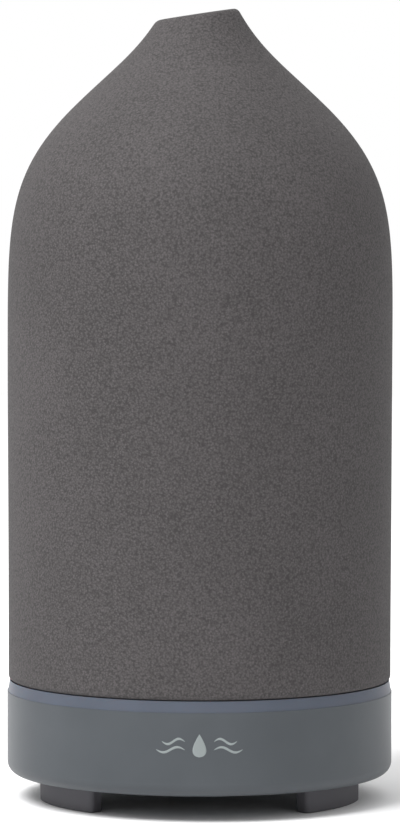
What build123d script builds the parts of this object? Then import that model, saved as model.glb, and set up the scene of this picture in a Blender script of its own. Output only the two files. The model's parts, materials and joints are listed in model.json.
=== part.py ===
from build123d import *
from math import cos, radians, sin, tan
import os

# Ultrasonic essential oil diffuser. Millimetres, +Z up, front towards -Y.
# The origin is on the floor, on the axis of the round body.

# Named clearances
gap = 0.3
slide_gap = 0.25
part_gap = 0.1
thread_gap = 0.05

# Ceramic cover: a slight belly, a round shoulder and a flared neck with a slanted mouth
belly_r = 45.0
foot_draw = 0.2
belly_z = 110.2
shoulder_in = 16.0
shoulder_rise = 52.1
shoulder_slope = 135.8
shoulder_pull = 0.83
neck_r = 8.5
neck_rise = 22.7
neck_slope = 118.6
neck_pull_low = 0.58
neck_pull_top = 0.5
mouth_drop = 1.55
mouth_tilt = 8.6
cover_wall = 3.5
mouth_round = 1.1
cover_edge_round = 1.2

# Base housing
base_proud = 0.1
base_z = 5.9
base_h = 19.3
base_wall = 2.2
base_round = 2.8
lip_depth = 1.6
lip_t = 1.6
lip_w = 3.3
rib_count = 6
rib_t = 1.2
rib_w = 1.6
rib_sink = 0.25

# Light ring between the housing and the cover
ring_h = 2.6
ring_inset = 0.15
ring_bevel = 0.45
ring_leg_h = 1.9
ring_leg_w = 1.3
ring_step_w = 1.0
ring_step_h = 1.4

# Reservoir: deck, cover collar, cup and air chimney
cup_space = 4.8
cup_wall = 2.0
cup_floor_rise = 4.4
cup_floor_t = 2.0
cup_depth = 44.0
deck_t = 2.0
deck_drop = 0.2
collar_h = 4.0
collar_t = 1.5
collar_gap = 0.7
fill_depth = 28.0
fill_span = 24.0
fill_ridge = 0.4
chimney_depth = 7.0
chimney_w = 17.0
chimney_wall = 1.6
chimney_below_lid = 2.0
skirt_t = 1.6

# Inner lid
lid_t = 1.8
lid_over = 0.0
lid_plug_h = 6.0
lid_plug_t = 1.6
lid_gap = 0.35
lid_dome_h = 11.0
lid_shelf_w = 2.0
lid_swell = 5.5
lid_swell_in = 4.5
nozzle_r = 8.0
nozzle_bore_r = 6.2
nozzle_h = 15.0
nozzle_flare = 4.0

# Bottom cover and feet
plate_t = 2.0
plate_gap = 0.2
foot_inset = 7.1
foot_depth = 4.0
foot_span = 39.0
foot_round = 1.0
foot_count = 3
peg_r = 1.4
peg_span = 20.0
peg_head = 0.5
peg_head_h = 1.0
slot_w = 1.8
slot_pitch = 3.2
slot_rings = 3
slot_first = 1.4
slot_bridge = 2.2

# Ultrasonic disc in its gasket
disc_r = 10.0
disc_t = 0.65
gasket_wall = 2.6
gasket_h = 3.6
gasket_hold = 1.6
pocket_wall = 1.8
piezo_plate_t = 0.8
ear_r = 2.4
ear_tuck = 0.8
piezo_screw_l = 3.8

# Fan
fan_side = 30.0
fan_h = 10.0
fan_rise = 1.4
fan_inset = 2.5
fan_azimuth = 210.0
fan_rim = 1.1
fan_corner_r = 2.4
tip_gap = 0.6
hub_r = 7.6
hub_wall = 0.9
blade_count = 7
blade_t = 0.8
blade_pitch = 38.0
rotor_lift = 0.7
hub_floor_t = 1.1
axle_r = 1.0
axle_gap = 0.04
axle_boss_w = 0.9
axle_boss_t = 1.1
axle_seat = 0.6
bush_r = 2.2
bush_rise = 3.8
bush_cap_t = 0.2
stem_wall = 0.9
web_t = 1.2
spoke_w = 1.8
spoke_count = 3
magnet_t = 1.4
magnet_rise = 1.4
coil_h = 4.0
coil_core_t = 0.8
pole_t = 3.2
pole_w = 2.4
air_gap = 0.4
fan_hole_pitch = 24.0
fan_hole_gap = 0.4
hood_h = 3.2
duct_wall = 1.0

# Boards
board_t = 1.2
board_rise = 1.7
board_inset = 4.5
board_to_fan = 1.2
board_posts_at = ((31, -15), (5, -30), (5.5, 20))
board_boss_gap = 1.0
led_board_t = 1.0
led_count = 12
led_w = 3.0
led_d = 2.6
led_h = 0.7
led_inset = 0.2

# What stands on the main board; each place is along and across from its straight edge
chip_at = (15, 0)
chip_w = 6.2
chip_l = 10.6
chip_h = 1.6
chip_lift = 0.2
chip_legs_w = 9.6
chip_leg_t = 0.42
chip_leg_h = 0.6
chip_leg_pitch = 1.27
chip_legs_each_side = 8
coil_at = (23, -14)
coil_wound_r = 3.6
coil_flange_r = 4.2
coil_flange_t = 1.0
coil_gap_h = 5.4
can_places = ((9, -12), (9, -20.5))
can_r = 3.1
can_h = 7.4
can_round = 0.5
transistor_at = (25, 6)
transistor_w = 6.4
transistor_l = 5.6
transistor_h = 2.2
tab_w = 5.2
tab_l = 8.4
tab_h = 0.5
fan_plug_at = (9, 10)
piezo_plug_at = (16, 12.5)
led_plug_at = (17, -24)
plug_w = 4.6
plug_l = 6.0
plug_h = 5.0
plug_floor = 1.2
plug_wall = 0.7

# DC inlet for a 5.5 mm barrel plug with a 2 mm centre
jack_w = 9.0
jack_h = 9.2
jack_depth = 13.5
jack_bore_r = 3.1
jack_bore_depth = 10.0
jack_pin_r = 1.0
jack_pin_l = 8.6
jack_root_r = 1.3
jack_hole_r = 4.8
jack_set_back = 0.6
jack_round = 0.6

# Push buttons on the rear flank
button_r = 3.4
button_from_rear = 24.0
button_proud = 0.6
button_travel = 0.4
button_flange_t = 1.0
button_flange_w = 1.0
button_set_back = 1.4
button_round = 0.5
switch_side = 6.0
switch_depth = 3.4
switch_leg_inset = 0.5
plunger_r = 1.6
plunger_proud = 0.5

# Screws and leads
case_screw_r = 1.4
case_screw_l = 9.0
case_screw_sink = 1.3
boss_r = 3.0
small_screw_r = 1.0
post_r = 2.2
head_factor = 1.9
head_h_factor = 0.9
slot_t_factor = 0.42
screw_hole_gap = 0.2
lead_r = 0.5
led_lead_r = 0.3
lead_pitch = 1.9
fan_lead_drop = 0.8
piezo_lead_rise = 2.2
piezo_lead_at = (5, 1.5)

# Radii worked out from the cover's
cover_foot_r = belly_r - foot_draw
cover_in_r = cover_foot_r - cover_wall
shoulder_r = belly_r - shoulder_in
base_r = belly_r + base_proud
base_in_r = base_r - base_wall
ring_foot_r = base_r - ring_inset
ring_leg_r = base_in_r - 2 * part_gap
ring_in_r = ring_leg_r - ring_leg_w
ring_step_r = ring_in_r + ring_step_w
collar_r = cover_in_r - collar_gap
cup_r = cover_in_r - cup_space
cup_in_r = cup_r - cup_wall
plate_r = base_in_r - lip_w + base_wall - plate_gap
foot_r = base_r - foot_inset
foot_mid_r = foot_r - foot_depth / 2
boss_at_r = cup_in_r - boss_r / 2
led_board_r = base_in_r - gap
led_board_in_r = cup_r + part_gap
board_r = base_in_r - board_inset
gasket_r = disc_r + gasket_wall
gasket_bore_r = disc_r - gasket_hold
ear_at_r = gasket_r + pocket_wall + ear_r - ear_tuck
fan_bore_r = fan_side / 2 - fan_rim
rotor_r = fan_bore_r - tip_gap
fan_from_axis = cup_in_r - fan_side / 2 - fan_inset
board_edge = fan_side / 2 - fan_from_axis + board_to_fan
jack_face = base_in_r - jack_set_back
jack_floor = jack_face - jack_bore_depth
jack_back = jack_face - jack_depth
flange_out_r = base_in_r - button_set_back
flange_in_r = flange_out_r - button_flange_t
switch_face_r = flange_in_r - gap - button_travel - plunger_proud

# Heights worked out from the floor up
base_top_z = base_z + base_h
ring_top_z = base_top_z + ring_h
cover_z = ring_top_z + part_gap
plate_top_z = base_z + plate_t
deck_top_z = ring_top_z - deck_drop
deck_z = deck_top_z - deck_t
cup_floor_z = deck_top_z + cup_floor_rise
floor_top_z = cup_floor_z + cup_floor_t
cup_rim_z = floor_top_z + cup_depth
lid_z = cup_rim_z + part_gap
chimney_top_z = lid_z - lid_plug_h - chimney_below_lid
led_board_z = base_top_z - ring_leg_h - 2 * part_gap - led_h - led_board_t
board_z = plate_top_z + board_rise
board_top_z = board_z + board_t
plug_z = board_top_z + plug_floor
axis_z = board_top_z + jack_h / 2
fan_z = plate_top_z + fan_rise
fan_top_z = fan_z + fan_h
web_z = fan_top_z - web_t
bush_z = fan_z + bush_rise
bush_top_z = web_z - bush_cap_t
rotor_z = fan_z + rotor_lift
rotor_top_z = web_z - air_gap
gasket_z = cup_floor_z - gasket_h
disc_z = gasket_z + gasket_h / 2 - disc_t / 2
piezo_plate_z = gasket_z - piezo_plate_t

# Directions: the feet, and the gaps between them that hold the case screws
rear = 90.0
foot_angles = [rear + i * 360 / foot_count for i in range(foot_count)]
gap_angles = [a + 180 / foot_count for a in foot_angles]
fan_turn = radians(fan_azimuth)
fan_at = (fan_from_axis * cos(fan_turn), fan_from_axis * sin(fan_turn))


def polar(r, angle):
    return (r * cos(radians(angle)), r * sin(radians(angle)))


def tube(outer, inner, z0, z1):
    return Pos(0, 0, (z0 + z1) / 2) * (Cylinder(outer, z1 - z0) - Cylinder(inner, z1 - z0 + 2))


def disc(r, z0, z1, at=(0, 0)):
    return Pos(at[0], at[1], (z0 + z1) / 2) * Cylinder(r, z1 - z0)


def spin(points):
    """Turns a closed outline of (radius, height) points about the axis."""
    outline = Polyline(*[(r, 0, z) for r, z in points], close=True)
    return revolve(make_face(outline), Axis.Z, 360)


def group(shapes):
    return Compound(children=list(shapes))


def screw(at, z_head, length, r, points_up=True):
    """Pan-head screw on a vertical axis; z_head is the face under its head."""
    head_h = r * head_h_factor
    slot_t = r * slot_t_factor
    slot_depth = head_h * 0.5
    whole = disc(r, 0, length - r) + Pos(0, 0, length - r / 2) * Cone(r, r * 0.4, r)
    head = disc(r * head_factor, -head_h, 0)
    head = fillet(head.edges().sort_by(Axis.Z)[0], head_h * 0.4)
    cross = Box(r * 2, slot_t, slot_depth) + Box(slot_t, r * 2, slot_depth)
    whole = whole + head - Pos(0, 0, slot_depth / 2 - head_h) * cross
    if not points_up:
        whole = Rot(180, 0, 0) * whole
    return Pos(at[0], at[1], z_head) * whole


# ---- ceramic cover

def dome(inset, z0):
    """The closed body inside the cover's outline moved in by inset, from z0 up past the mouth."""
    slope = radians(shoulder_slope)
    up_slope = Vector(cos(slope), 0, sin(slope))
    inward = Vector(-sin(slope), 0, cos(slope))
    flare = radians(neck_slope)
    up_neck = Vector(cos(flare), 0, sin(flare))
    shrink = (belly_r - inset) / belly_r
    foot = Vector(cover_foot_r - inset, 0, z0)
    belly = Vector(belly_r - inset, 0, belly_z)
    turn = Vector(shoulder_r, 0, belly_z + shoulder_rise) + inward * inset
    neck = Vector(neck_r - inset, 0, belly_z + shoulder_rise + neck_rise)
    up = Vector(0, 0, 1)
    round_h = shoulder_rise * shrink / 2
    turn_pull = up_slope * (neck_rise * neck_pull_low)
    neck_pull = up_neck * (neck_rise * neck_pull_top)
    curves = [
        Bezier(foot, foot + up * round_h, belly - up * round_h, belly),
        Bezier(belly, belly + up * round_h, turn - up_slope * (round_h * shoulder_pull), turn),
        Bezier(turn, turn + turn_pull, neck - neck_pull, neck)]
    axis_top = Vector(0, 0, neck.Z)
    axis_foot = Vector(0, 0, z0)
    curves.append(Line(neck, axis_top))
    curves.append(Line(axis_top, axis_foot))
    curves.append(Line(axis_foot, foot))
    return revolve(make_face(Wire(curves)), Axis.Z, 360)


def make_ceramic_cover():
    mouth_z = belly_z + shoulder_rise + neck_rise - mouth_drop
    shell = dome(0, cover_z) - dome(cover_wall, cover_z - 0.001)
    keep = Pos(0, 0, -mouth_z) * Box(4 * belly_r, 4 * belly_r, 2 * mouth_z)
    shell = shell & Pos(0, 0, mouth_z) * Rot(0, -mouth_tilt, 0) * keep
    mouth = shell.edges().filter_by(lambda e: e.center().Z > mouth_z - 5)
    shell = fillet(mouth, mouth_round)
    foot = shell.edges().filter_by(lambda e: abs(e.center().Z - cover_z) < 0.1)
    return fillet(foot, cover_edge_round)


# ---- base housing, light ring, bottom cover, feet

def rear_axis(angle, r):
    """A place at radius r and height axis_z whose Z axis points straight out from the body."""
    x, y = polar(r, angle)
    return Pos(x, y, axis_z) * Rot(0, 0, angle) * Rot(0, 90, 0)


def make_base_housing():
    lip_z = base_z + lip_depth
    lip_top_z = lip_z + lip_t
    lip_r = base_in_r - lip_w
    open_r = lip_r + base_wall
    shell = spin([
        (open_r, base_z), (base_r, base_z), (base_r, base_top_z), (base_in_r, base_top_z),
        (base_in_r, lip_top_z), (lip_r, lip_top_z), (lip_r, lip_z), (open_r, lip_z)])
    low = shell.edges().filter_by(lambda e: abs(e.center().Z - base_z) < 0.01)
    shell = fillet(low.sort_by(lambda e: e.length)[-1], base_round)
    rib_h = led_board_z - lip_top_z
    rib_r = base_in_r - rib_w / 2 + rib_sink
    rib = Pos(rib_r, 0, lip_top_z + rib_h / 2) * Box(rib_w + 2 * rib_sink, rib_t, rib_h)
    for i in range(rib_count):
        shell += Rot(0, 0, (i + 0.25) * 360 / rib_count) * rib
    shell -= rear_axis(rear, base_in_r) * Cylinder(jack_hole_r, 3 * base_wall)
    for side in (-1, 1):
        hole = Cylinder(button_r + slide_gap, 3 * base_wall)
        shell -= rear_axis(rear + side * button_from_rear, base_in_r) * hole
    return shell


def make_light_ring():
    foot_z = base_top_z - ring_leg_h
    step_z = ring_top_z - ring_step_h
    return spin([
        (ring_in_r, foot_z), (ring_leg_r, foot_z), (ring_leg_r, base_top_z),
        (ring_foot_r, base_top_z), (ring_foot_r - ring_bevel, ring_top_z),
        (ring_step_r, ring_top_z), (ring_step_r, step_z), (ring_in_r, step_z)])


def make_bottom_cover():
    plate = disc(plate_r, base_z, base_z + lip_depth)
    plate += disc(base_in_r - lip_w - plate_gap, base_z, plate_top_z)
    bridges = Box(4 * slot_rings * slot_pitch, slot_bridge, 4 * plate_t)
    bridges = Pos(0, 0, base_z) * (Rot(0, 0, 45) * bridges + Rot(0, 0, 135) * bridges)
    for i in range(slot_rings):
        r = slot_pitch * (i + slot_first)
        slots = tube(r + slot_w / 2, r - slot_w / 2, base_z - 1, plate_top_z + 1)
        plate -= at_fan(slots - bridges)
    for angle in gap_angles:
        at = polar(boss_at_r, angle)
        plate -= disc(case_screw_r + screw_hole_gap, base_z - 1, plate_top_z + 1, at)
        plate -= disc(case_screw_r * head_factor + gap, base_z - 1, base_z + case_screw_sink, at)
    for at in foot_pegs():
        plate -= disc(peg_r, base_z - 1, plate_top_z + 1, at)
    for spots, top in ((board_posts(), board_z), (fan_posts(), fan_z)):
        for at in spots:
            plate += disc(post_r, plate_top_z - 0.5, top, at)
            plate -= disc(small_screw_r + thread_gap, plate_top_z - 0.8, top + 1, at)
    return plate


def foot_pegs():
    return [polar(foot_mid_r, a + s * peg_span / 2) for a in foot_angles for s in (-1, 1)]


def make_foot(angle):
    """A curved block with two pegs pushed up through the bottom cover."""
    block = tube(foot_r, foot_r - foot_depth, 0, base_z)
    reach = foot_r * 1.5
    side = reach * tan(radians(foot_span / 2))
    wedge = Polyline((0, 0), (reach, -side), (reach, side), close=True)
    block = block & extrude(make_face(wedge), base_z)
    block = fillet(block.edges().filter_by(Axis.Z), foot_round)
    block = fillet(block.faces().sort_by(Axis.Z)[0].edges(), foot_round / 2)
    peg_z = plate_top_z + peg_head_h
    for way in (-1, 1):
        at = polar(foot_mid_r, way * peg_span / 2)
        block += disc(peg_r, base_z - 0.5, peg_z, at)
        block += disc(peg_r + peg_head, plate_top_z, peg_z, at)
    return Rot(0, 0, angle) * block


def make_case_screws():
    z = base_z + case_screw_sink
    return group(screw(polar(boss_at_r, a), z, case_screw_l, case_screw_r) for a in gap_angles)


# ---- reservoir and inner lid

def chimney_box(grow, z0, z1):
    """The air chimney's plan on the fan's side, from its inner wall out past the cup's wall."""
    inner = cup_in_r - chimney_depth - grow
    plan = Box(cup_wall + cup_in_r - inner, chimney_w + 2 * grow, z1 - z0)
    plan = Pos((inner + cup_r) / 2, 0, (z0 + z1) / 2) * plan
    return Rot(0, 0, fan_azimuth) * plan


def make_reservoir():
    skirt_r = led_board_in_r + skirt_t
    skirt_z = led_board_z + led_board_t
    deck_r = ring_in_r - part_gap
    rim_r = ring_step_r - part_gap
    rim_z = ring_top_z - ring_step_h
    collar_z = deck_top_z + collar_h
    collar_in_r = collar_r - collar_t
    body = spin([
        (0, cup_floor_z), (cup_in_r, cup_floor_z), (cup_in_r, skirt_z), (skirt_r, skirt_z),
        (skirt_r, deck_z), (deck_r, deck_z), (deck_r, rim_z), (rim_r, rim_z), (rim_r, deck_top_z),
        (collar_r, deck_top_z), (collar_r, collar_z), (collar_in_r, collar_z), (collar_in_r, deck_top_z),
        (cup_r, deck_top_z), (cup_r, cup_rim_z), (cup_in_r, cup_rim_z), (cup_in_r, floor_top_z),
        (0, floor_top_z)])
    inside = disc(cup_in_r, 0, cup_rim_z)
    body += chimney_box(chimney_wall, cup_floor_z, chimney_top_z) & disc(cup_in_r + 0.5, 0, cup_rim_z)
    body -= chimney_box(0, cup_floor_z - 1, chimney_top_z + 1) & inside
    body += tube(gasket_r + pocket_wall, gasket_r, gasket_z, cup_floor_z + 0.5)
    body -= disc(gasket_bore_r, cup_floor_z - 1, floor_top_z + 1)
    pocket = disc(gasket_r, gasket_z - 1, cup_floor_z)
    for angle in foot_angles:
        at = polar(ear_at_r, angle)
        body += disc(post_r, gasket_z, cup_floor_z + 0.5, at) - pocket
        body -= disc(small_screw_r + thread_gap, gasket_z - 1, piezo_plate_z + piezo_screw_l + gap, at)
    for angle in gap_angles:
        at = polar(boss_at_r, angle)
        body += disc(boss_r, plate_top_z, cup_floor_z + 0.5, at)
        hole_top = base_z + case_screw_sink + case_screw_l + 1
        body -= disc(case_screw_r + thread_gap, plate_top_z - 1, hole_top, at)
    return body + fill_line()


def fill_line():
    """A short ridge inside the cup at the highest water level."""
    z = floor_top_z + fill_depth
    side = 2 * cup_r * tan(radians(fill_span / 2))
    wedge = Polyline((0, 0), (2 * cup_r, -side), (2 * cup_r, side), close=True)
    ridge = tube(cup_in_r + 0.5, cup_in_r - fill_ridge, z - fill_ridge, z + fill_ridge)
    return ridge & Rot(0, 0, rear) * Pos(0, 0, z - 1) * extrude(make_face(wedge), 2)


def make_inner_lid():
    plug_r = cup_in_r - lid_gap
    plug_in_r = plug_r - lid_plug_t
    flange_r = cup_r + lid_over
    top = lid_z + lid_dome_h
    under = top - lid_t
    tip = top + nozzle_h
    foot_r = nozzle_r + nozzle_flare
    edge_z = lid_z + lid_t
    reach = (flange_r - foot_r) * 0.37
    shelf = Vector(flange_r - lid_shelf_w, 0, edge_z)
    foot = Vector(foot_r, 0, top)
    bend = Vector(nozzle_r, 0, top + nozzle_flare)
    foot_in = Vector(foot_r, 0, under)
    shelf_in = Vector(plug_in_r, 0, lid_z + lid_t / 2)
    shelf_in_bend = shelf_in + Vector(-reach / 2, 0, lid_swell_in)
    curves = [
        Line((flange_r, 0, lid_z), (flange_r, 0, edge_z)),
        Line((flange_r, 0, edge_z), shelf),
        Bezier(shelf, shelf + Vector(-reach, 0, lid_swell), foot + Vector(reach, 0, 0), foot),
        Bezier(foot, Vector(nozzle_r, 0, top), bend),
        Line(bend, (nozzle_r, 0, tip)),
        Line((nozzle_r, 0, tip), (nozzle_bore_r, 0, tip)),
        Line((nozzle_bore_r, 0, tip), (nozzle_bore_r, 0, under)),
        Line((nozzle_bore_r, 0, under), foot_in),
        Bezier(foot_in, foot_in + Vector(reach, 0, 0), shelf_in_bend, shelf_in),
        Line(shelf_in, (plug_in_r, 0, lid_z - lid_plug_h)),
        Line((plug_in_r, 0, lid_z - lid_plug_h), (plug_r, 0, lid_z - lid_plug_h)),
        Line((plug_r, 0, lid_z - lid_plug_h), (plug_r, 0, lid_z)),
        Line((plug_r, 0, lid_z), (flange_r, 0, lid_z))]
    lid = revolve(make_face(Wire(curves)), Axis.Z, 360)
    rim = lid.edges().filter_by(lambda e: abs(e.center().Z - tip) < 0.01)
    return fillet(rim, (nozzle_r - nozzle_bore_r) / 3)


# ---- ultrasonic disc

def make_piezo_disc():
    return disc(disc_r, disc_z, disc_z + disc_t)


def make_piezo_gasket():
    ring = tube(gasket_r - part_gap / 2, gasket_bore_r, gasket_z, cup_floor_z - part_gap / 2)
    return ring - make_piezo_disc()


def make_piezo_plate():
    plate = tube(gasket_r + pocket_wall, gasket_bore_r, piezo_plate_z, gasket_z)
    for angle in foot_angles:
        at = polar(ear_at_r, angle)
        plate += disc(ear_r, piezo_plate_z, gasket_z, at)
        plate -= disc(small_screw_r + screw_hole_gap, piezo_plate_z - 1, gasket_z + 1, at)
    return plate


def make_piezo_screws():
    spots = [polar(ear_at_r, a) for a in foot_angles]
    return group(screw(at, piezo_plate_z, piezo_screw_l, small_screw_r) for at in spots)


# ---- fan and duct

def at_fan(shape):
    return Pos(fan_at[0], fan_at[1], 0) * Rot(0, 0, fan_azimuth) * shape


def fan_posts():
    half = fan_hole_pitch / 2
    turned = Rot(0, 0, fan_azimuth)
    spots = [turned * Pos(half, s * half, 0) for s in (-1, 1)]
    spots.append(turned * Pos(-half, half, 0))
    return [(fan_at[0] + p.position.X, fan_at[1] + p.position.Y) for p in spots]


def make_fan_frame():
    frame = Pos(0, 0, fan_z + fan_h / 2) * Box(fan_side, fan_side, fan_h)
    frame = fillet(frame.edges().filter_by(Axis.Z), fan_corner_r)
    frame -= disc(fan_bore_r, fan_z - 1, fan_top_z + 1)
    web = disc(hub_r, web_z, fan_top_z)
    arm = Pos(fan_bore_r / 2 + 1, 0, fan_top_z - web_t / 2) * Box(fan_bore_r + 1, spoke_w, web_t)
    for i in range(spoke_count):
        web += Rot(0, 0, (i + 0.25) * 360 / spoke_count) * arm
    stem = disc(bush_r + stem_wall, bush_z, fan_top_z - web_t / 2)
    frame = frame + web + stem - disc(bush_r, fan_z, bush_top_z)
    half = fan_hole_pitch / 2
    for x in (-half, half):
        for y in (-half, half):
            frame -= disc(small_screw_r + fan_hole_gap, fan_z - 1, fan_top_z + 1, (x, y))
    return at_fan(frame)


def make_fan_bush():
    return at_fan(tube(bush_r, axle_r + axle_gap, bush_z, bush_top_z))


def make_fan_rotor():
    """Cup hub, open towards the frame's stem, with twisted blades around it."""
    hub_floor_z = rotor_z + hub_floor_t
    hub = disc(hub_r, rotor_z, rotor_top_z) - disc(hub_r - hub_wall, hub_floor_z, rotor_top_z + 1)
    hub += disc(axle_r + axle_boss_w, rotor_z, hub_floor_z + axle_boss_t)
    hub -= disc(axle_r, rotor_z + axle_seat, hub_floor_z + axle_boss_t + 1)
    for i in range(blade_count):
        hub += Rot(0, 0, i * 360 / blade_count) * fan_blade(rotor_z + gap, rotor_top_z - gap)
    return at_fan(hub)


def fan_blade(z0, z1):
    root_r = hub_r - hub_wall / 2
    length = rotor_r - root_r
    height = (z1 - z0) / cos(radians(blade_pitch)) * 1.3
    blade = Rot(blade_pitch, 0, 0) * Box(length, blade_t, height)
    return Pos(root_r + length / 2, 0, (z0 + z1) / 2) * blade & tube(rotor_r, root_r, z0, z1)


def make_fan_axle():
    return at_fan(disc(axle_r, rotor_z + axle_seat, bush_top_z - air_gap))


def make_rotor_magnet():
    outer = hub_r - hub_wall
    return at_fan(tube(outer, outer - magnet_t, rotor_z + magnet_rise, rotor_top_z - air_gap))


def make_fan_stator():
    """Coil core on the frame's stem, inside the rotor magnet."""
    inner = bush_r + stem_wall
    outer = hub_r - hub_wall - magnet_t - air_gap
    middle = rotor_top_z - coil_h / 2
    core = tube(inner + coil_core_t, inner, middle - coil_h / 2, middle + coil_h / 2)
    poles = tube(outer, inner, middle - pole_t / 2, middle + pole_t / 2)
    cross = Box(2 * outer, pole_w, coil_h) + Box(pole_w, 2 * outer, coil_h)
    return at_fan(core + (poles & Pos(0, 0, middle) * cross))


def make_fan_screws():
    length = fan_h + fan_rise
    return group(screw(at, fan_top_z, length, small_screw_r, False) for at in fan_posts())


def duct_plan(shrink, z0, z1, chute_only=False):
    """Hood and chute outline in the fan's own axes, or the chute's part alone."""
    inner = cup_in_r - chimney_depth - duct_wall - fan_from_axis + shrink
    outer = cup_in_r - fan_from_axis
    side = chimney_w + 2 * duct_wall - 2 * shrink
    start = inner if chute_only else 0
    plan = Pos((start + outer) / 2, 0, (z0 + z1) / 2) * Box(outer - start, side, z1 - z0)
    if not chute_only:
        plan += disc(rotor_r + duct_wall - shrink, z0, z1)
    return at_fan(plan) & disc(cup_in_r - gap - shrink, z0, z1)


def make_air_duct():
    """Hood over the fan with a chute up into the reservoir's chimney."""
    hood_z = fan_top_z + hood_h
    top_z = cup_floor_z - part_gap
    duct = duct_plan(0, fan_top_z, hood_z) + duct_plan(0, hood_z - duct_wall, top_z, True)
    duct -= duct_plan(duct_wall, fan_top_z - 1, hood_z - duct_wall)
    return duct - duct_plan(duct_wall, hood_z - 2 * duct_wall, top_z + 1, True)


# ---- boards

def on_board(shape, along, across, height):
    """Stands a shape on the board; along is counted from the board's straight edge."""
    turn = Rot(0, 0, fan_azimuth + 180)
    return turn * Pos(along + board_edge, across, board_top_z + height / 2) * shape


def board_spot(along, across):
    spot = on_board(Pos(0, 0, 0), along, across, 0).position
    return (spot.X, spot.Y)


def board_posts():
    return [board_spot(*at) for at in board_posts_at]


def make_main_board():
    board = disc(board_r, board_z, board_top_z)
    board = board & on_board(Pos(board_r, 0, 0) * Box(2 * board_r, 3 * board_r, 10), 0, 0, 0)
    for angle in gap_angles:
        for r in (boss_at_r, boss_at_r + boss_r):
            board -= disc(boss_r + board_boss_gap, 0, board_top_z + 1, polar(r, angle))
    for at in board_posts():
        board -= disc(small_screw_r + screw_hole_gap, 0, board_top_z + 1, at)
    return board


def make_board_screws():
    length = board_rise + board_t
    return group(screw(at, board_top_z, length, small_screw_r, False) for at in board_posts())


def make_control_chip():
    chip = on_board(Box(chip_w, chip_l, chip_h), *chip_at, chip_h + 2 * chip_lift)
    middle = (chip_legs_each_side - 1) / 2
    for i in range(chip_legs_each_side):
        across = chip_at[1] + (i - middle) * chip_leg_pitch
        chip += on_board(Box(chip_legs_w, chip_leg_t, chip_leg_h), chip_at[0], across, chip_leg_h)
    return chip


def make_driver_coil():
    high = coil_gap_h + 2 * coil_flange_t
    core = on_board(Cylinder(coil_wound_r, high), *coil_at, high)
    for height in (coil_flange_t, 2 * high - coil_flange_t):
        core += on_board(Cylinder(coil_flange_r, coil_flange_t), *coil_at, height)
    return core


def make_capacitors():
    cans = [on_board(Cylinder(can_r, can_h), *at, can_h) for at in can_places]
    return group(fillet(can.edges().sort_by(Axis.Z)[-1], can_round) for can in cans)


def make_power_transistor():
    body = on_board(Box(transistor_w, transistor_l, transistor_h), *transistor_at, transistor_h)
    return body + on_board(Box(tab_w, tab_l, tab_h), *transistor_at, tab_h)


def make_board_connectors():
    hollow = Box(plug_w - 2 * plug_wall, plug_l - 2 * plug_wall, plug_h)
    block = Box(plug_w, plug_l, plug_h) - Pos(0, 0, plug_floor) * hollow
    return group(on_board(block, *at, plug_h) for at in (fan_plug_at, piezo_plug_at, led_plug_at))


def along_y(r, y0, y1):
    return Pos(0, (y0 + y1) / 2, axis_z) * Rot(90, 0, 0) * Cylinder(r, y1 - y0)


def make_dc_jack():
    body = Pos(0, jack_back + jack_depth / 2, axis_z) * Box(jack_w, jack_depth, jack_h)
    body = fillet(body.edges().filter_by(Axis.Y), jack_round)
    body -= along_y(jack_bore_r, jack_floor, jack_face + 1)
    return body - along_y(jack_root_r, jack_back - 1, jack_floor + 1)


def make_dc_pin():
    pin = along_y(jack_pin_r, jack_floor, jack_floor + jack_pin_l)
    pin = fillet(pin.edges().sort_by(Axis.Y)[-1], jack_pin_r * 0.4)
    return pin + along_y(jack_root_r, jack_back, jack_floor)


def make_switch(angle):
    body = rear_axis(angle, switch_face_r - switch_depth / 2) * Box(switch_side, switch_side, switch_depth)
    well = button_travel + plunger_proud + 2 * gap
    body -= rear_axis(angle, switch_face_r) * Cylinder(plunger_r + part_gap, 2 * well)
    legs_h = axis_z - switch_side / 2 - board_top_z
    legs = rear_axis(angle, switch_face_r - switch_depth / 2) * Pos(switch_side / 2 + legs_h / 2, 0, 0)
    inset = 2 * switch_leg_inset
    return body + legs * Box(legs_h, switch_side - inset, switch_depth - inset)


def make_plunger(angle):
    back = switch_face_r - plunger_proud
    return rear_axis(angle, (back + flange_in_r) / 2) * Cylinder(plunger_r, flange_in_r - back)


def make_button(angle):
    tip = base_r + button_proud
    cap = rear_axis(angle, (flange_in_r + tip) / 2) * Cylinder(button_r, tip - flange_in_r)
    face = Vector(*polar(tip, angle), axis_z)
    outer = cap.edges().sort_by(lambda e: (e.center() - face).length)[0]
    flange = Cylinder(button_r + button_flange_w, button_flange_t)
    return fillet(outer, button_round) + rear_axis(angle, (flange_in_r + flange_out_r) / 2) * flange


def make_led_board():
    return tube(led_board_r, led_board_in_r, led_board_z, led_board_z + led_board_t)


def make_leds():
    z = led_board_z + led_board_t
    one = Pos(led_board_r - led_d / 2 - led_inset, 0, z + led_h / 2) * Box(led_d, led_w, led_h)
    return group(Rot(0, 0, (i + 0.5) * 360 / led_count) * one for i in range(led_count))


# ---- leads

def lead_pair(spots, heights, r):
    """Two leads side by side along straight runs joined by tangent arcs.

    Each spot is a place on the board and each height its level; corners get the arc their runs allow."""
    plan = [Vector(*board_spot(*at)) for at in spots]
    way = (plan[-1] - plan[0]).normalized()
    side = Vector(-way.Y, way.X, 0) * (lead_pitch / 2)
    leads = []
    for sign in (-1, 1):
        points = [Vector(p.X, p.Y, z) + side * sign for p, z in zip(plan, heights)]
        runs = [(b - a).length for a, b in zip(points, points[1:])]
        radii = [0.45 * min(pair) for pair in zip(runs, runs[1:])]
        path = FilletPolyline(*points, radius=radii)
        start = Plane(origin=path @ 0, z_dir=path % 0)
        leads.append(sweep(start * Circle(r), path=path))
        print("lead length", round(path.length, 1), "radii", [round(x, 1) for x in radii])
    return group(leads)


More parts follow.
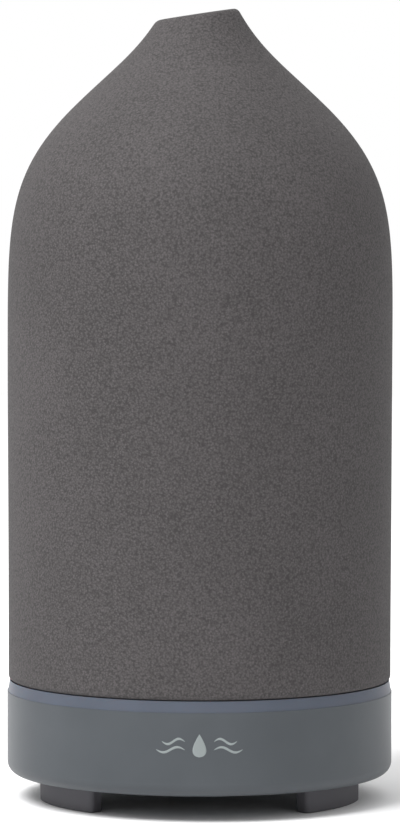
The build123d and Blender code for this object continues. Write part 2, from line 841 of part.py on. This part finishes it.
def make_fan_leads():
    start = (-board_to_fan, fan_plug_at[1])
    level = fan_top_z - fan_lead_drop
    return lead_pair([start, fan_plug_at, fan_plug_at], [level, level, plug_z], lead_r)


def make_piezo_leads():
    level = fan_top_z + piezo_lead_rise
    spots = [piezo_lead_at, piezo_lead_at, piezo_plug_at, piezo_plug_at]
    return lead_pair(spots, [disc_z, level, level, plug_z], lead_r)


def make_led_leads():
    along, across = led_plug_at
    out = (led_board_in_r + skirt_t) / Vector(along + board_edge, across).length
    start = ((along + board_edge) * out - board_edge, across * out)
    level = (led_board_z + plug_z) / 2
    spots = [start, start, led_plug_at, led_plug_at]
    return lead_pair(spots, [led_board_z, level, level, plug_z], led_lead_r)


makers = {
    "ceramic_cover": make_ceramic_cover,
    "light_ring": make_light_ring,
    "base_housing": make_base_housing,
    "bottom_cover": make_bottom_cover,
    "foot_rear": lambda: make_foot(foot_angles[0]),
    "foot_left": lambda: make_foot(foot_angles[1]),
    "foot_right": lambda: make_foot(foot_angles[2]),
    "case_screws": make_case_screws,
    "reservoir": make_reservoir,
    "inner_lid": make_inner_lid,
    "piezo_disc": make_piezo_disc,
    "piezo_gasket": make_piezo_gasket,
    "piezo_plate": make_piezo_plate,
    "piezo_screws": make_piezo_screws,
    "fan_frame": make_fan_frame,
    "fan_bush": make_fan_bush,
    "fan_rotor": make_fan_rotor,
    "fan_axle": make_fan_axle,
    "rotor_magnet": make_rotor_magnet,
    "fan_stator": make_fan_stator,
    "fan_screws": make_fan_screws,
    "air_duct": make_air_duct,
    "main_board": make_main_board,
    "board_screws": make_board_screws,
    "control_chip": make_control_chip,
    "driver_coil": make_driver_coil,
    "capacitors": make_capacitors,
    "power_transistor": make_power_transistor,
    "board_connectors": make_board_connectors,
    "dc_jack": make_dc_jack,
    "dc_pin": make_dc_pin,
    "mist_switch": lambda: make_switch(rear + button_from_rear),
    "mist_plunger": lambda: make_plunger(rear + button_from_rear),
    "mist_button": lambda: make_button(rear + button_from_rear),
    "light_switch": lambda: make_switch(rear - button_from_rear),
    "light_plunger": lambda: make_plunger(rear - button_from_rear),
    "light_button": lambda: make_button(rear - button_from_rear),
    "led_board": make_led_board,
    "leds": make_leds,
    "fan_leads": make_fan_leads,
    "piezo_leads": make_piezo_leads,
    "led_leads": make_led_leads,
}

os.makedirs("parts", exist_ok=True)
for name, make in makers.items():
    export_step(make(), f"parts/{name}.step")
    print(name)
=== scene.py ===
import json
import math

import bpy
import numpy as np
from mathutils import Matrix, Vector


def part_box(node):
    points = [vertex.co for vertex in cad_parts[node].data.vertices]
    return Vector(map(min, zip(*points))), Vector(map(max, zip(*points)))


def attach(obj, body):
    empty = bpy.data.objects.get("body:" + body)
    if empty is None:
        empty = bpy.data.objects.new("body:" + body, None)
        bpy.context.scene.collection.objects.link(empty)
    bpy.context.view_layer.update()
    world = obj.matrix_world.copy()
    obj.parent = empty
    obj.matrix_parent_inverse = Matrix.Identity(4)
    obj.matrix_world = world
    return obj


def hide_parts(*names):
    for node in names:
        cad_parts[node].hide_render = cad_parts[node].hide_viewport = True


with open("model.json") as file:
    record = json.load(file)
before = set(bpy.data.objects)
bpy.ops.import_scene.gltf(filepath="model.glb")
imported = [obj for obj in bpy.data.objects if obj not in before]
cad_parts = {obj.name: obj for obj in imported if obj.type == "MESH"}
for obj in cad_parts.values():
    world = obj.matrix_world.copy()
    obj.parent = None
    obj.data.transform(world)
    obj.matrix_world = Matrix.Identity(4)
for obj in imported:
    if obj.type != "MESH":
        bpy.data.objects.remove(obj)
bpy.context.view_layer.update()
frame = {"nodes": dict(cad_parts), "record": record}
cadNodes = frame["nodes"]
mm = 0.001


# small tools

def toLinear(hexColour):
    # sRGB hex to linear: each channel through the sRGB curve
    raw = [int(hexColour[i:i + 2], 16) / 255 for i in (1, 3, 5)]
    return [c / 12.92 if c <= 0.04045 else ((c + 0.055) / 1.055) ** 2.4 for c in raw] + [1.0]


def addNode(tree, kind, settings=None, links=None):
    # one node: settings go to its sockets or its properties, links are socket -> (node, output);
    # stops are a colour ramp's (position, colour) pairs
    node = tree.nodes.new(kind)
    for key, value in (settings or {}).items():
        if key == "stops":
            for element, (position, colour) in zip(node.color_ramp.elements, value):
                element.position, element.color = position, colour
        elif isinstance(key, str) and hasattr(node, key) and key not in node.inputs:
            setattr(node, key, value)
        else:
            node.inputs[key].default_value = value
    for key, (other, output) in (links or {}).items():
        tree.links.new(other.outputs[output], node.inputs[key])
    return node


def newMaterial(name):
    # an empty node tree with object coordinates ready to use
    material = bpy.data.materials.new(name)
    material.use_nodes = True
    tree = material.node_tree
    tree.nodes.clear()
    place = addNode(tree, "ShaderNodeTexCoord")
    return material, tree, place


def gridPiece(name, points, wrapRows, wrapColumns, flip=False):
    # points is rows x columns x 3; quads join each point to its neighbours, wrapping where asked
    rows, columns = points.shape[:2]
    row = np.arange(rows if wrapRows else rows - 1)
    column = np.arange(columns if wrapColumns else columns - 1)
    r, c = np.meshgrid(row, column, indexing="ij")
    nextR, nextC = (r + 1) % rows, (c + 1) % columns
    quads = np.stack([r * columns + c, r * columns + nextC, nextR * columns + nextC, nextR * columns + c], -1)
    quads = quads.reshape(-1, 4)
    return meshPiece(name, points.reshape(-1, 3), quads[:, ::-1] if flip else quads)


def meshPiece(name, points, quads):
    mesh = bpy.data.meshes.new(name)
    mesh.vertices.add(len(points))
    mesh.vertices.foreach_set("co", np.ascontiguousarray(points, np.float32).ravel())
    mesh.loops.add(quads.size)
    mesh.loops.foreach_set("vertex_index", np.ascontiguousarray(quads, np.int32).ravel())
    mesh.polygons.add(len(quads))
    mesh.polygons.foreach_set("loop_start", np.arange(0, quads.size, 4, dtype=np.int32))
    mesh.polygons.foreach_set("use_smooth", np.ones(len(quads), bool))
    mesh.update(calc_edges=True)
    mesh.validate()
    piece = bpy.data.objects.new(name, mesh)
    bpy.context.scene.collection.objects.link(piece)
    return piece


def bezier(points, steps):
    # cubic curve through four control points, sampled at even steps of its parameter
    t = np.linspace(0, 1, steps)[:, None]
    p = np.asarray(points, float)
    return (1 - t) ** 3 * p[0] + 3 * (1 - t) ** 2 * t * p[1] + 3 * (1 - t) * t ** 2 * p[2] + t ** 3 * p[3]


def paint(piece, material):
    piece.data.materials.clear()
    piece.data.materials.append(material)


# materials

def stonewareMatt():
    # unglazed stoneware, slip cast and bisque fired: chalky, with a pebbled sandy tooth and faint clouding
    # height = pebbles (rounded cells) less finer sand noise; tone follows the height and slow clouds, so the
    # low crevices between pebbles carry painted shade and the pebble tops painted light, while the clouds are
    # the clay's own tone drift.
    # The real tooth is about 0.3 mm; the pebbles are drawn at 0.55 mm so that they show
    body = {"deep": "#373535", "high": "#585455", "pebbleMm": 0.55, "sandMm": 0.36, "cloudMm": 26.0,
            "toothMm": 0.14, "roughness": 0.8, "specular": 0.34}
    material, tree, place = newMaterial("stoneware_bisque_matt")
    pebble = addNode(tree, "ShaderNodeTexVoronoi",
                     {"feature": "SMOOTH_F1", "Scale": 1 / (body["pebbleMm"] * mm), "Smoothness": 0.5,
                      "Randomness": 1.0}, {"Vector": (place, "Object")})
    sand = addNode(tree, "ShaderNodeTexNoise", {"Scale": 1 / (body["sandMm"] * mm), "Detail": 2.0,
                   "Roughness": 0.5}, {"Vector": (place, "Object")})
    cloud = addNode(tree, "ShaderNodeTexNoise", {"Scale": 1 / (body["cloudMm"] * mm), "Detail": 4.0},
                    {"Vector": (place, "Object")})
    height = addNode(tree, "ShaderNodeMath", {"operation": "MULTIPLY_ADD", 1: -0.7},
                     {0: (pebble, "Distance"), 2: (sand, "Fac")})
    # tone: the height part paints shade into the crevices and light onto the pebble tops; the cloud part is
    # real clouding in the clay
    tone = addNode(tree, "ShaderNodeMath", {"operation": "MULTIPLY_ADD", 1: 0.3},
                   {0: (cloud, "Fac"), 2: (height, "Value")})
    colour = addNode(tree, "ShaderNodeValToRGB", {"stops": [(0.05, toLinear(body["deep"])),
                     (0.75, toLinear(body["high"]))]}, {"Fac": (tone, "Value")})
    bump = addNode(tree, "ShaderNodeBump", {"Strength": 1.0, "Distance": body["toothMm"] * mm},
                   {"Height": (height, "Value")})
    shader = addNode(tree, "ShaderNodeBsdfPrincipled", {"Roughness": body["roughness"], "IOR": 1.5,
                     "Specular IOR Level": body["specular"]},
                     {"Base Color": (colour, "Color"), "Normal": (bump, "Normal")})
    addNode(tree, "ShaderNodeOutputMaterial", links={"Surface": (shader, "BSDF")})
    return material


def mouldedPlastic(name, deep, high, roughness, sparkMm=0.12, toothMm=0.004, softness=0.0, specular=0.5):
    # injection-moulded plastic with a spark-eroded tool texture: colour drifts slowly with the flow,
    # and a fine even noise breaks the gloss
    flowMm, glossSwing = 14, (-0.04, 0.05)
    material, tree, place = newMaterial(name)
    flow = addNode(tree, "ShaderNodeTexNoise", {"Scale": 1 / (flowMm * mm), "Detail": 3.0},
                   {"Vector": (place, "Object")})
    spark = addNode(tree, "ShaderNodeTexNoise", {"Scale": 1 / (sparkMm * mm), "Detail": 2.0},
                    {"Vector": (place, "Object")})
    colour = addNode(tree, "ShaderNodeValToRGB", {"stops": [(0.3, toLinear(deep)), (0.7, toLinear(high))]},
                     {"Fac": (flow, "Fac")})
    gloss = addNode(tree, "ShaderNodeMapRange", {"To Min": roughness + glossSwing[0],
                    "To Max": roughness + glossSwing[1]}, {"Value": (spark, "Fac")})
    bump = addNode(tree, "ShaderNodeBump", {"Strength": 1.0, "Distance": toothMm * mm},
                   {"Height": (spark, "Fac")})
    shader = addNode(tree, "ShaderNodeBsdfPrincipled", {"IOR": 1.5, "Specular IOR Level": specular,
                     "Subsurface Weight": softness, "Subsurface Scale": 1.5 * mm},
                     {"Base Color": (colour, "Color"), "Roughness": (gloss, "Result"),
                      "Normal": (bump, "Normal")})
    addNode(tree, "ShaderNodeOutputMaterial", links={"Surface": (shader, "BSDF")})
    return material


def platedMetal(name, deep, high, roughness, grainMm):
    # plated or turned metal: fine streaks around the part change both tone and gloss
    streak, scratchMm, glossSwing = 6.0, 0.003, (-0.08, 0.1)
    material, tree, place = newMaterial(name)
    stretch = addNode(tree, "ShaderNodeMapping", {"Scale": (1.0, 1.0, streak)}, {"Vector": (place, "Object")})
    grain = addNode(tree, "ShaderNodeTexNoise", {"Scale": 1 / (grainMm * mm), "Detail": 4.0},
                    {"Vector": (stretch, "Vector")})
    colour = addNode(tree, "ShaderNodeValToRGB", {"stops": [(0.3, toLinear(deep)), (0.7, toLinear(high))]},
                     {"Fac": (grain, "Fac")})
    gloss = addNode(tree, "ShaderNodeMapRange", {"To Min": roughness + glossSwing[0],
                    "To Max": roughness + glossSwing[1]}, {"Value": (grain, "Fac")})
    bump = addNode(tree, "ShaderNodeBump", {"Strength": 0.5, "Distance": scratchMm * mm},
                   {"Height": (grain, "Fac")})
    shader = addNode(tree, "ShaderNodeBsdfPrincipled", {"Metallic": 1.0},
                     {"Base Color": (colour, "Color"), "Roughness": (gloss, "Result"),
                      "Normal": (bump, "Normal")})
    addNode(tree, "ShaderNodeOutputMaterial", links={"Surface": (shader, "BSDF")})
    return material


finishes = {
    # bisque-fired clay: dry, no shine, fine grit
    "cover_ceramic": stonewareMatt(),
    # moulded in an etched tool: an even satin with a soft sheen at the edges
    "base_plastic": mouldedPlastic("abs_satin_moulded", "#474b4f", "#4c5054", 0.42, specular=0.27),
    # diffusing acrylic: a faint milky depth, bluer than the base
    "ring_plastic": mouldedPlastic("pmma_frosted_moulded", "#484e5a", "#4d535f", 0.4, softness=0.15),
    # uncoloured polypropylene: waxy and cloudy, light goes a little way in
    "tank_plastic": mouldedPlastic("polypropylene_natural_moulded", "#c9cccb", "#d4d6d4", 0.4, softness=0.35),
    # moulded rubber: dull and slightly dusty
    "foot_rubber": mouldedPlastic("silicone_rubber_charcoal", "#525156", "#58575b", 0.75, toothMm=0.008),
    # clear silicone: soft, milky and low in gloss
    "gasket_rubber": mouldedPlastic("silicone_rubber_clear", "#c8c8c4", "#d2d2ce", 0.5, softness=0.4),
    # filled technical plastics: even, half matt
    "black_plastic": mouldedPlastic("pbt_black_moulded", "#151515", "#1b1b1b", 0.45),
    "white_plastic": mouldedPlastic("nylon_white_moulded", "#d6d4cc", "#e0ded7", 0.4),
    # cured green lacquer over woven glass: smooth, with a clear gloss
    "board_laminate": mouldedPlastic("solder_mask_on_laminate", "#12492f", "#1a5a3b", 0.3),
    # bright zinc: cool grey, streaked, softly mirroring
    "steel": platedMetal("steel_zinc_plated", "#9a9c9e", "#b8babb", 0.35, 0.4),
    # sintered ceramic: pale, eggshell smooth
    "piezo_ceramic": mouldedPlastic("piezo_ceramic_fired", "#b9b39c", "#c6c0a9", 0.4),
    # lathe-turned brass: warm, with fine rings
    "brass": platedMetal("brass_turned", "#a8874a", "#c4a262", 0.3, 0.3),
    # transfer-moulded epoxy: near black and dry
    "chip_epoxy": mouldedPlastic("epoxy_moulding_compound", "#1b1b1c", "#242425", 0.6),
    # deep-drawn can: light grey, faint drawing lines
    "can_aluminium": platedMetal("aluminium_drawn_can", "#a9abad", "#c3c5c7", 0.3, 0.5),
    # pressed and fired iron oxide: dark and grainy
    "ferrite": mouldedPlastic("ferrite_pressed", "#232220", "#2d2b29", 0.7, toothMm=0.01),
    # lacquered wire: reddish with a bright line along each turn
    "coil_copper": platedMetal("copper_enamelled_wire", "#8f4f2b", "#b16a3c", 0.35, 0.2),
    # extruded sleeve: smooth, slightly waxy
    "lead_red": mouldedPlastic("pvc_insulation_red", "#8e1f1a", "#9d2822", 0.4),
    "lead_black": mouldedPlastic("pvc_insulation_black", "#161616", "#1d1d1d", 0.4),
}
for entry in frame["record"]["subparts"]:
    paint(cadNodes[entry["node"]], finishes[entry["material_slot"]])
print("materials:", len(finishes))


# stoneware cover

cover = {
    "footR": 44.8, "bellyR": 45.0, "bellyZ": 110.2, "footZ": 27.9, "shoulderIn": 16.0, "shoulderRise": 52.1,
    "shoulderSlope": 135.8, "shoulderPull": 0.83, "neckR": 8.5, "neckRise": 22.7, "neckSlope": 118.6,
    "neckPullLow": 0.58, "neckPullTop": 0.5, "mouthDrop": 1.55, "mouthTilt": 8.6,
    "wall": 3.5, "mouthRound": 1.1, "footRound": 1.2, "around": 320, "upWall": 200, "upInside": 60,
    "roundSteps": 8, "sideSteps": 60, "shoulderSteps": 160, "throatSteps": 100, "waver": 0.06, "waverFade": 25,
}


def coverOutline(inset):
    # three cubic curves end to end, moved in by inset: side to belly, belly to shoulder, shoulder to neck
    c = cover
    slope, flare = math.radians(c["shoulderSlope"]), math.radians(c["neckSlope"])
    upSlope = np.array([math.cos(slope), math.sin(slope)])
    inward = np.array([-math.sin(slope), math.cos(slope)])
    upNeck = np.array([math.cos(flare), math.sin(flare)])
    shrink = (c["bellyR"] - inset) / c["bellyR"]
    rise = np.array([0, c["shoulderRise"] * shrink / 2])
    foot = np.array([c["footR"] - inset, c["footZ"]])
    belly = np.array([c["bellyR"] - inset, c["bellyZ"]])
    turn = np.array([c["bellyR"] - c["shoulderIn"], c["bellyZ"] + c["shoulderRise"]]) + inward * inset
    neck = np.array([c["neckR"] - inset, c["bellyZ"] + c["shoulderRise"] + c["neckRise"]])
    side = bezier([foot, foot + rise, belly - rise, belly], c["sideSteps"])
    shoulder = bezier([belly, belly + rise, turn - upSlope * rise[1] * c["shoulderPull"], turn],
                      c["shoulderSteps"])
    pullLow, pullTop = upSlope * c["neckRise"] * c["neckPullLow"], upNeck * c["neckRise"] * c["neckPullTop"]
    throat = bezier([turn, turn + pullLow, neck - pullTop, neck], c["throatSteps"])
    return np.vstack([side, shoulder[1:], throat[1:]])


def coverSurface():
    # the outline turned about the axis; each column's rim is where it meets the tilted mouth plane,
    # and the foot and mouth corners are quadratic curves
    c = cover
    angle = np.linspace(0, 2 * math.pi, c["around"], endpoint=False)[None, :]
    mouthZ = c["bellyZ"] + c["shoulderRise"] + c["neckRise"] - c["mouthDrop"]
    lift = math.tan(math.radians(c["mouthTilt"])) * np.cos(angle)
    outline = {}
    for name, inset in (("out", 0), ("in", c["wall"])):
        curve = coverOutline(inset)
        z = np.full_like(angle, mouthZ)
        for _ in range(8):
            z = mouthZ + lift * np.interp(z, curve[:, 1], curve[:, 0])
        outline[name] = (curve, z)

    def wallRows(name, low, high, rows, ease):
        curve, rim = outline[name]
        t = np.linspace(0, 1, rows)[:, None] ** ease
        z = c["footZ"] + low + (rim - high - c["footZ"] - low) * t
        return np.interp(z, curve[:, 1], curve[:, 0]), z

    def corner(start, middle, end):
        t = np.linspace(0, 1, c["roundSteps"] + 2)[1:-1, None]
        return [(1 - t) ** 2 * a + 2 * t * (1 - t) * b + t ** 2 * e for a, b, e in zip(start, middle, end)]

    outR, outZ = wallRows("out", c["footRound"], c["mouthRound"], c["upWall"], 0.9)
    inR, inZ = wallRows("in", c["footRound"], c["mouthRound"], c["upInside"], 0.9)
    rimOut = (np.interp(outline["out"][1], *outline["out"][0].T[::-1]), outline["out"][1])
    rimIn = (np.interp(outline["in"][1], *outline["in"][0].T[::-1]), outline["in"][1])
    share = c["mouthRound"] / c["wall"]
    rimA = [o + (i - o) * share for o, i in zip(rimOut, rimIn)]
    rimB = [i + (o - i) * share for o, i in zip(rimOut, rimIn)]
    mouthOuter = corner((outR[-1:], outZ[-1:]), rimOut, rimA)
    mouthInner = corner(rimB, rimIn, (inR[-1:], inZ[-1:]))
    flat = np.ones_like(angle)
    footOut, footIn = c["footR"] * flat, (c["footR"] - c["wall"]) * flat
    base = c["footZ"] * flat
    footA, footB = (footIn + c["footRound"], base), (footOut - c["footRound"], base)
    footInner = corner((inR[:1], inZ[:1]), (footIn, base), footA)
    footOuter = corner(footB, (footOut, base), (outR[:1], outZ[:1]))
    r = np.vstack([outR, mouthOuter[0], rimA[0], rimB[0], mouthInner[0], inR[::-1], footInner[0],
                   footA[0], footB[0], footOuter[0]])
    z = np.vstack([outZ, mouthOuter[1], rimA[1], rimB[1], mouthInner[1], inZ[::-1], footInner[1],
                   footA[1], footB[1], footOuter[1]])
    # slow waver of a cast and fettled wall, always inwards and fading out at the foot
    fade = np.clip((z - c["footZ"]) / c["waverFade"], 0, 1)
    waver = (np.sin(3 * angle + z / 17) + np.sin(5 * angle - z / 11 + 1.3)) / 4 - 0.5
    r = r + c["waver"] * fade * waver
    return np.stack([r * np.cos(angle), r * np.sin(angle), z], -1) * mm


stonewareCover = gridPiece("stoneware_cover", coverSurface(), True, True)
paint(stonewareCover, finishes["cover_ceramic"])
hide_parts("ceramic_cover")
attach(stonewareCover, "cover")
print("cover done")


# printed mark on the base front: a drop between two mist strokes

mark = {
    "centreZ": 17.8, "proud": 0.012, "dropW": 3.4, "dropH": 5.2, "strokeL": 6.6, "strokeW": 0.62, "wave": 0.62,
    "gapX": 3.3, "film": 0.03, "ink": "#828989", "inkHigh": "#889090",
}


def onBase(x, z):
    # a flat patch bent round the base wall, its left-right distance measured along the wall
    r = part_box("base_housing")[1].x / mm + mark["proud"]
    angle = x / r - math.pi / 2
    return np.stack([r * np.cos(angle), r * np.sin(angle), z + mark["centreZ"]], -1) * mm


def dropPatch():
    # half width grows as the sine of the height and narrows to a point at the top; clipped, so that
    # neither end is quite zero wide
    v = np.linspace(0, 1, 33)[:, None]
    u = np.linspace(-1, 1, 13)[None, :]
    grow = np.clip(v, 0.0005, 0.99)
    half = mark["dropW"] / 2 * np.sin(math.pi * grow ** 0.62) ** 0.8 * (1 - 0.25 * v)
    return onBase(half * u, (v - 0.5) * mark["dropH"] + 0 * u)


def mistStroke(side, level, length):
    # a sine line whose width swells in the middle and ends in points
    t = np.linspace(0, 1, 61)[:, None]
    u = np.linspace(-1, 1, 5)[None, :]
    width = mark["strokeW"] / 2 * np.sin(math.pi * np.clip(t, 0.003, 0.997)) ** 0.5
    x = side * (mark["gapX"] + length * t)
    z = level + mark["wave"] * np.sin(2 * math.pi * t) - width * u * side
    return onBase(x + 0 * u, z)


def makeMark():
    # pad-printed ink: a flat pale film, duller than the wall under it
    ink = mouldedPlastic("pad_printed_ink", mark["ink"], mark["inkHigh"], 0.55)
    patches = {"mark_drop": dropPatch()}
    for sideName, side in (("left", -1), ("right", 1)):
        for i, (level, length) in enumerate(((0.95, 0.8), (-0.95, 1.0))):
            patches[f"mark_mist_{sideName}_{i + 1}"] = mistStroke(side, level, mark["strokeL"] * length)
    for name, points in patches.items():
        piece = gridPiece(name, points, False, False)
        film = piece.modifiers.new("film", "SOLIDIFY")  # the ink's thickness, its back inside the wall
        film.thickness = mark["film"] * mm
        film.offset = -1
        paint(piece, ink)
        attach(piece, "base")


makeMark()
print("mark done")


# floor, light, camera

studio = {
    "sheetHalf": 1.5, "fibreMm": 3, "sheetLow": "#f8f8f9", "sheetHigh": "#fbfbfb",
    "front": 0.58, "back": 1.2, "backLeft": 14, "overhead": 1.0, "horizon": 0.04, "horizonTop": 0.3,
    "ground": 0.88, "keyPower": 27.0, "keySize": 0.8, "keyAzimuth": -49, "keyHeight": 56, "keyDistance": 1.6,
}


def makeStage():
    # uncoated paper: matt white with the faintest fibre
    floorMaterial, tree, place = newMaterial("paper_sweep_white")
    fibre = addNode(tree, "ShaderNodeTexNoise", {"Scale": 1 / (studio["fibreMm"] * mm), "Detail": 2.0},
                    {"Vector": (place, "Object")})
    colour = addNode(tree, "ShaderNodeValToRGB", {"stops": [(0.0, toLinear(studio["sheetLow"])),
                     (1.0, toLinear(studio["sheetHigh"]))]}, {"Fac": (fibre, "Fac")})
    shader = addNode(tree, "ShaderNodeBsdfPrincipled", {"Roughness": 0.9, "Specular IOR Level": 0.1},
                     {"Base Color": (colour, "Color")})
    addNode(tree, "ShaderNodeOutputMaterial", links={"Surface": (shader, "BSDF")})
    half = studio["sheetHalf"]
    corners = np.array([[[-half, -half, 0], [half, -half, 0]], [[-half, half, 0], [half, half, 0]]])
    floor = gridPiece("floor", corners, False, False)
    paint(floor, floorMaterial)


def makeWorld():
    # a white room seen by the camera; as light it is dimmer in front than behind, brightest overhead and
    # dim along the horizon, so that little gets in under the base. Past the sheet's edge the ground goes on
    # as bright as the sheet is
    world = bpy.data.worlds.new("studio")
    world.use_nodes = True
    tree = world.node_tree
    tree.nodes.clear()
    way = addNode(tree, "ShaderNodeTexCoord")
    turned = addNode(tree, "ShaderNodeMapping", {"Rotation": (0, 0, -math.radians(studio["backLeft"]))},
                     {"Vector": (way, "Generated")})
    axes = addNode(tree, "ShaderNodeSeparateXYZ", links={"Vector": (turned, "Vector")})
    depth = addNode(tree, "ShaderNodeMapRange", {"From Min": -0.7, "From Max": 0.7, "To Min": studio["front"],
                    "To Max": studio["back"]}, {"Value": (axes, "Y")})
    strength = addNode(tree, "ShaderNodeMapRange", {"From Min": 0.15, "From Max": 1.0,
                       "To Max": studio["overhead"]}, {"Value": (axes, "Z"), "To Min": (depth, "Result")})
    low = addNode(tree, "ShaderNodeMapRange",
                  {"interpolation_type": "SMOOTHSTEP", "From Min": 0.0, "From Max": studio["horizonTop"],
                   "To Min": studio["horizon"]}, {"Value": (axes, "Z")})
    ground = addNode(tree, "ShaderNodeMapRange",
                     {"From Min": -0.01, "From Max": 0.0, "To Min": studio["ground"], "To Max": 0.0},
                     {"Value": (axes, "Z")})
    level = addNode(tree, "ShaderNodeMath", {"operation": "MULTIPLY_ADD"},
                    {0: (strength, "Result"), 1: (low, "Result"), 2: (ground, "Result")})
    light = addNode(tree, "ShaderNodeBackground", {"Color": (1, 1, 1, 1)}, {"Strength": (level, "Value")})
    white = addNode(tree, "ShaderNodeBackground", {"Color": (1, 1, 1, 1), "Strength": 1.0})
    ray = addNode(tree, "ShaderNodeLightPath")
    both = addNode(tree, "ShaderNodeMixShader", links={0: (ray, "Is Camera Ray"), 1: (light, "Background"),
                   2: (white, "Background")})
    addNode(tree, "ShaderNodeOutputWorld", links={"Surface": (both, "Shader")})
    bpy.context.scene.world = world


def makeKey():
    # one soft box above, left and in front of the object
    light = bpy.data.lights.new("key", "AREA")
    light.shape = "SQUARE"
    light.size = studio["keySize"]
    light.energy = studio["keyPower"]
    key = bpy.data.objects.new("key", light)
    azimuth, height = math.radians(studio["keyAzimuth"]), math.radians(studio["keyHeight"])
    flat = math.cos(height)
    way = Vector((math.sin(azimuth) * flat, -math.cos(azimuth) * flat, math.sin(height)))
    middle = Vector((0, 0, 0.09))
    key.location = middle + way * studio["keyDistance"]
    key.rotation_euler = (-way).to_track_quat("-Z", "Y").to_euler()
    bpy.context.scene.collection.objects.link(key)


view = {"distance": 1.170, "height": 0.16754, "pitch": 3.779, "lens": 218.3, "sensor": 36.0, "roll": 0.1}


def makeCamera():
    camera = bpy.data.cameras.new("camera")
    camera.lens = view["lens"]
    camera.sensor_width = view["sensor"]
    eye = bpy.data.objects.new("camera", camera)
    tilt = Matrix.Rotation(math.radians(90 - view["pitch"]), 4, "X")
    turn = tilt @ Matrix.Rotation(math.radians(view["roll"]), 4, "Z")
    eye.matrix_world = Matrix.Translation((0, -view["distance"], view["height"])) @ turn
    bpy.context.scene.collection.objects.link(eye)
    bpy.context.scene.camera = eye


makeStage()
makeWorld()
makeKey()
makeCamera()
bpy.context.scene.view_settings.view_transform = "Standard"

bpy.context.view_layer.update()
